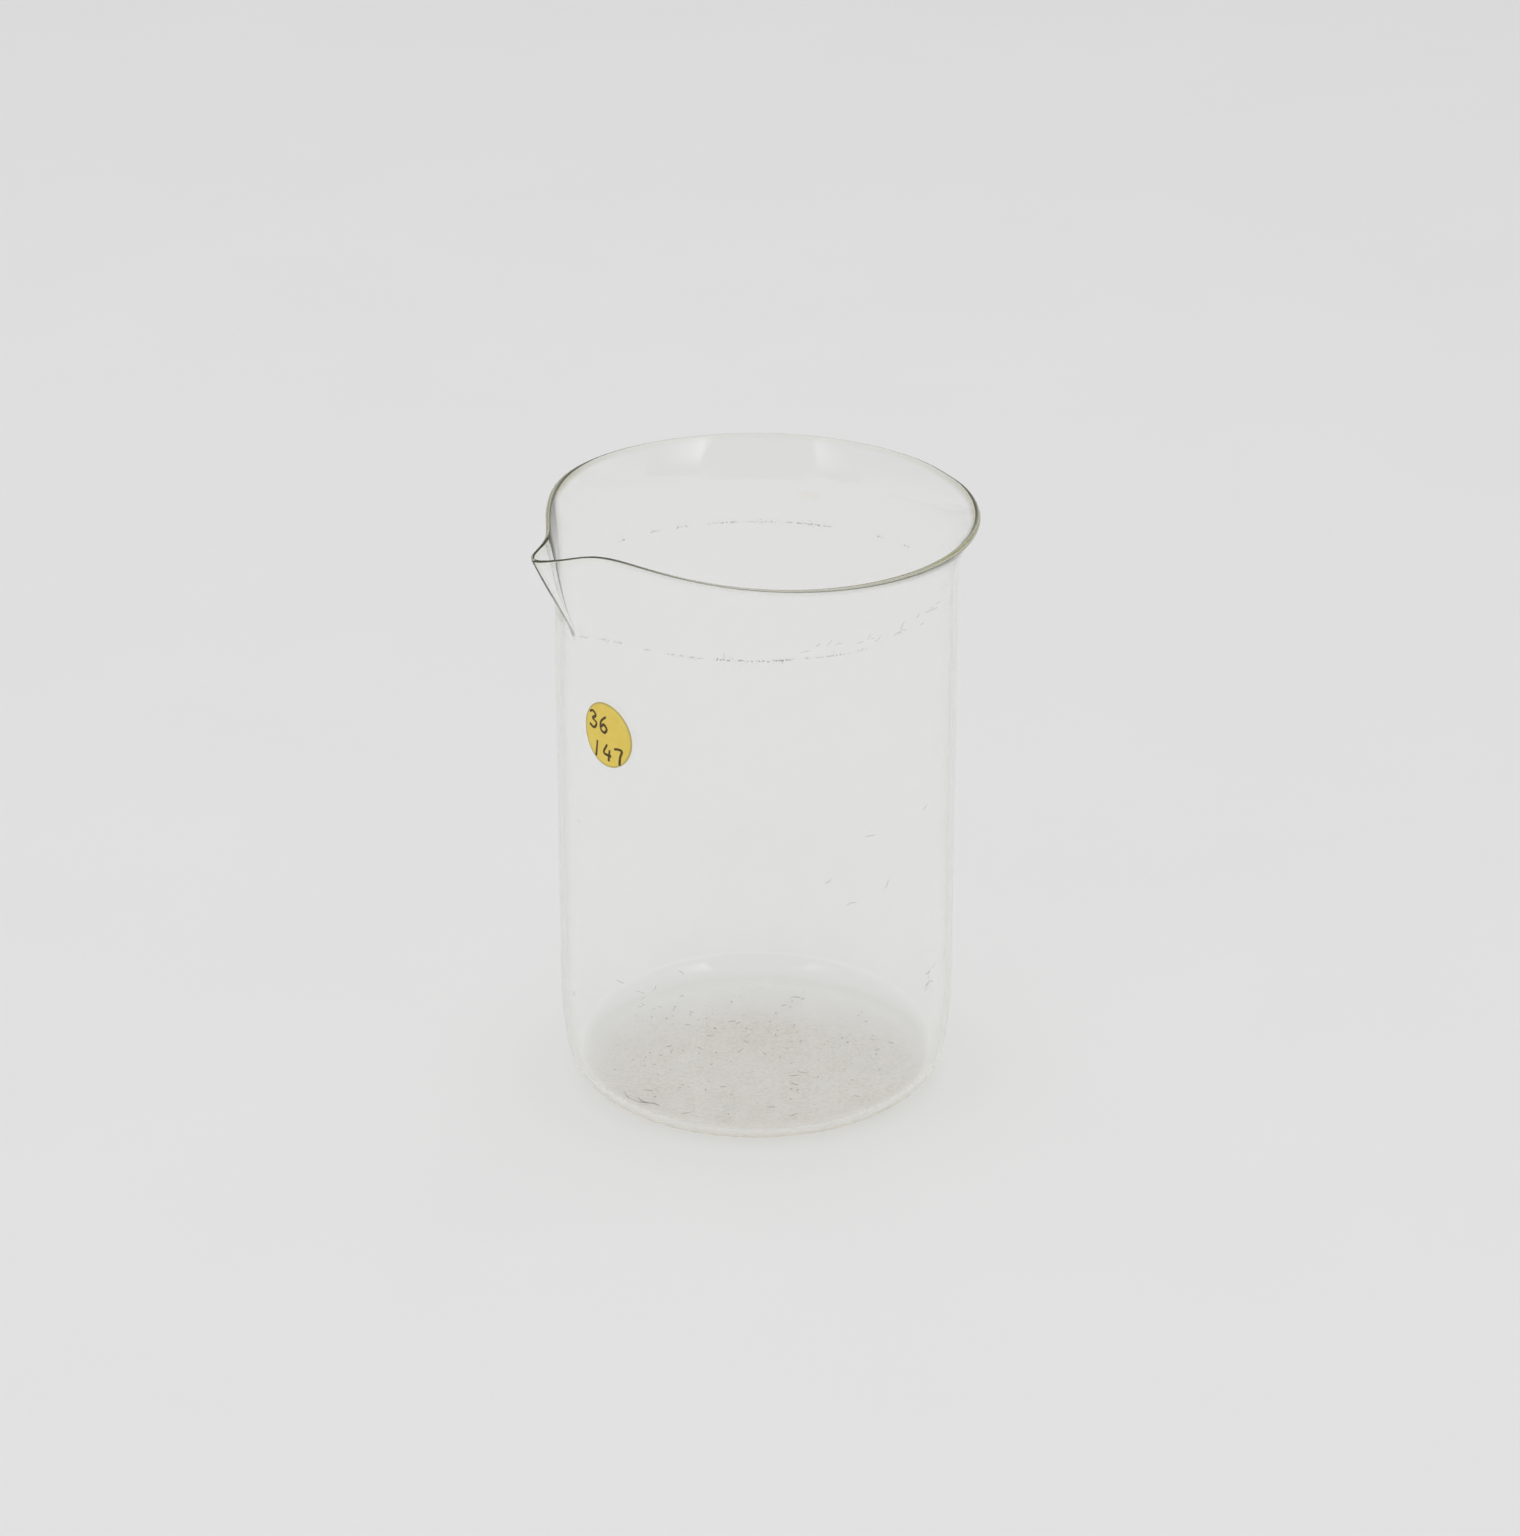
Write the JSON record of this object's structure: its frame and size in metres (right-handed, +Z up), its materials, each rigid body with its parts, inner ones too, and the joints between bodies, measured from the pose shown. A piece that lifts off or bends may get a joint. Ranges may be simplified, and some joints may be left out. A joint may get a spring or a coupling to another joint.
{
  "type": "laboratory beaker",
  "caption": "Tall thin-walled glass beaker with a flat base, rounded heel, flared rim and pouring spout, and a plain round paper dot stuck to its wall.",
  "frame": {"origin": "centre of the flat underside, where the beaker stands", "axes": "+Z up through the middle of the beaker, -X towards the pouring spout, +Y making a right-handed frame"},
  "size_m": [0.0901, 0.0844, 0.1212],
  "materials": {
    "clear_glass": "clear, fire-polished",
    "yellow_paper": "matt, pen marked"
  },
  "bodies": {
    "root": {"glass_vessel": "clear_glass", "paper_dot": "yellow_paper"}
  },
  "joints": []
}
